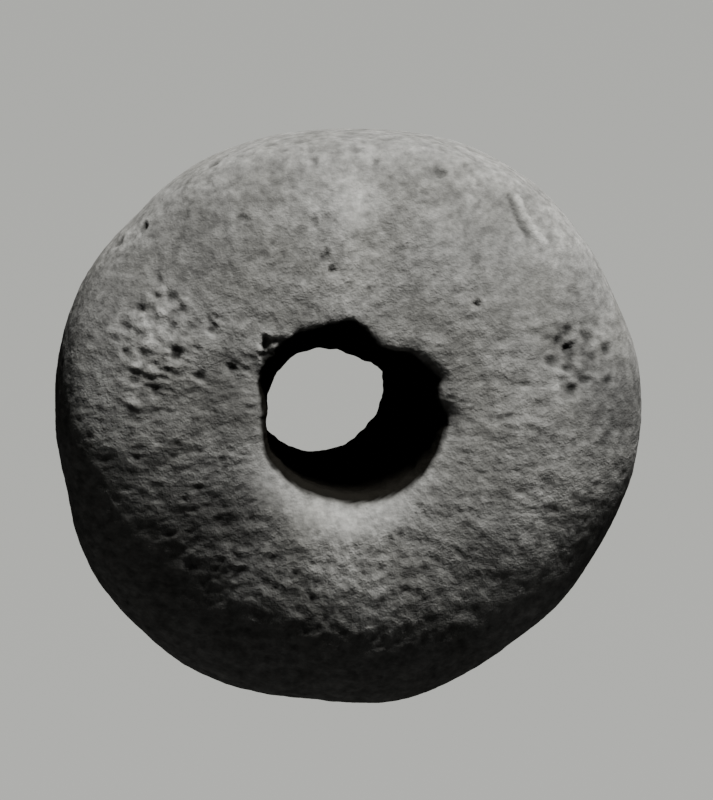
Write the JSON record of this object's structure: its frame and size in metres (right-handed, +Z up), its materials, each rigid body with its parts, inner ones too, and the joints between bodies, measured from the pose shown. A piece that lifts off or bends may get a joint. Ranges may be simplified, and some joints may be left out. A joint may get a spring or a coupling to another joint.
{
  "type": "stone spindle whorl",
  "caption": "Thick round stone with a flared hole through its middle, pushed on to a hand spindle as the weight that keeps it turning.",
  "frame": {"origin": "below the middle of the outline, on the plane of the flat worn ring that the whorl lies on", "axes": "+Z is up, out of the face that the picture shows; +X runs to that picture's right and +Y to its top"},
  "size_m": [0.0422, 0.0416, 0.016],
  "materials": {
    "stone": "dry, fine-grained and pecked, worn smooth round the hole and on the upper shoulder, with pits and small pale grains"
  },
  "bodies": {
    "root": {"whorl": "stone"}
  },
  "joints": []
}
